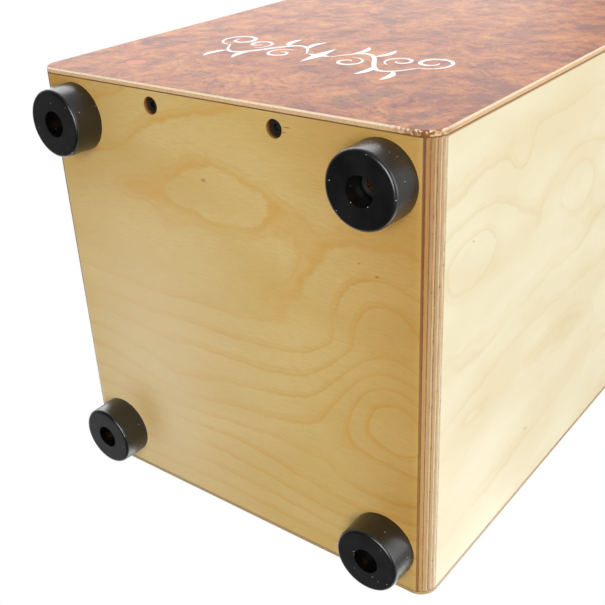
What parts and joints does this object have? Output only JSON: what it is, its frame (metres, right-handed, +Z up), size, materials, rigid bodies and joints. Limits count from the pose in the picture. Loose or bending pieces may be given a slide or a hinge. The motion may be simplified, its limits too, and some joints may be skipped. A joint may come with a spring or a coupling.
{
  "type": "cajon",
  "caption": "Box drum to sit on: plywood cabinet with rounded long edges, thin burl playing face, rear soundhole, rubber feet and snare strings tuned by screws through the floor.",
  "frame": {"origin": "centre of the object's box on the floor, under the four feet", "axes": "+Z up, +Y towards the soundhole panel, so the playing face looks along -Y; +X to the right of a viewer who faces the playing face"},
  "size_m": [0.3, 0.305, 0.5],
  "materials": {
    "birch_plywood": "clear satin lacquer on rotary-cut veneer",
    "burl_veneer": "clear gloss lacquer on burl veneer",
    "softwood": "planed, unfinished",
    "black_rubber": "satin moulded rubber",
    "zinc_plated_steel": "bright zinc plate",
    "yellow_zinc_steel": "yellow passivated zinc plate",
    "black_oxide_steel": "black oxide",
    "brass": "machined",
    "string_steel": "wound steel string"
  },
  "bodies": {
    "cabinet": {"left_side_panel": "birch_plywood", "right_side_panel": "birch_plywood", "seat_panel": "birch_plywood", "bottom_panel": "birch_plywood", "back_panel": "birch_plywood", "tapa": "burl_veneer", "left_bottom_batten": "softwood", "right_bottom_batten": "softwood", "left_top_batten": "softwood", "right_top_batten": "softwood", "front_bottom_cleat": "softwood", "front_top_cleat": "softwood", "front_left_cleat": "softwood", "front_right_cleat": "softwood", "back_bottom_cleat": "softwood", "back_top_cleat": "softwood", "back_left_cleat": "softwood", "back_right_cleat": "softwood", "front_left_foot": "black_rubber", "front_right_foot": "black_rubber", "back_left_foot": "black_rubber", "back_right_foot": "black_rubber", "foot_washers": "zinc_plated_steel", "foot_screws": "yellow_zinc_steel", "tapa_screws": "zinc_plated_steel", "tuner_washers": "zinc_plated_steel", "left_guide_bracket": "zinc_plated_steel", "right_guide_bracket": "zinc_plated_steel", "guide_bracket_screws": "yellow_zinc_steel", "left_anchor_plate": "zinc_plated_steel", "right_anchor_plate": "zinc_plated_steel", "anchor_plate_screws": "yellow_zinc_steel", "upper_string_ends": "brass", "left_snare_strings": "string_steel", "right_snare_strings": "string_steel"},
    "left_tuner": {"left_tuning_screw": "black_oxide_steel"},
    "left_carrier": {"left_string_carrier": "brass", "left_lower_string_ends": "brass"},
    "right_tuner": {"right_tuning_screw": "black_oxide_steel"},
    "right_carrier": {"right_string_carrier": "brass", "right_lower_string_ends": "brass"}
  },
  "joints": [
    {"name": "left_tuning_screw_turn", "type": "hinge", "parent": "cabinet", "child": "left_tuner", "pos_m": [-0.048, -0.13795, 0.0225], "axis": [0, 0, 1], "range_deg": [-1800, 1800]},
    {"name": "left_carrier_slide", "type": "slide", "parent": "cabinet", "child": "left_carrier", "axis": [0, 0, 1], "range_m": [-0.004, 0.004], "deforming": ["left_snare_strings"]},
    {"name": "right_tuning_screw_turn", "type": "hinge", "parent": "cabinet", "child": "right_tuner", "pos_m": [0.048, -0.13795, 0.0225], "axis": [0, 0, 1], "range_deg": [-1800, 1800]},
    {"name": "right_carrier_slide", "type": "slide", "parent": "cabinet", "child": "right_carrier", "axis": [0, 0, 1], "range_m": [-0.004, 0.004], "deforming": ["right_snare_strings"]}
  ],
  "couplings": [
    {"joint": "left_tuning_screw_turn", "follows": "left_carrier_slide", "rad_per_m": -7854},
    {"joint": "right_tuning_screw_turn", "follows": "right_carrier_slide", "rad_per_m": -7854}
  ]
}
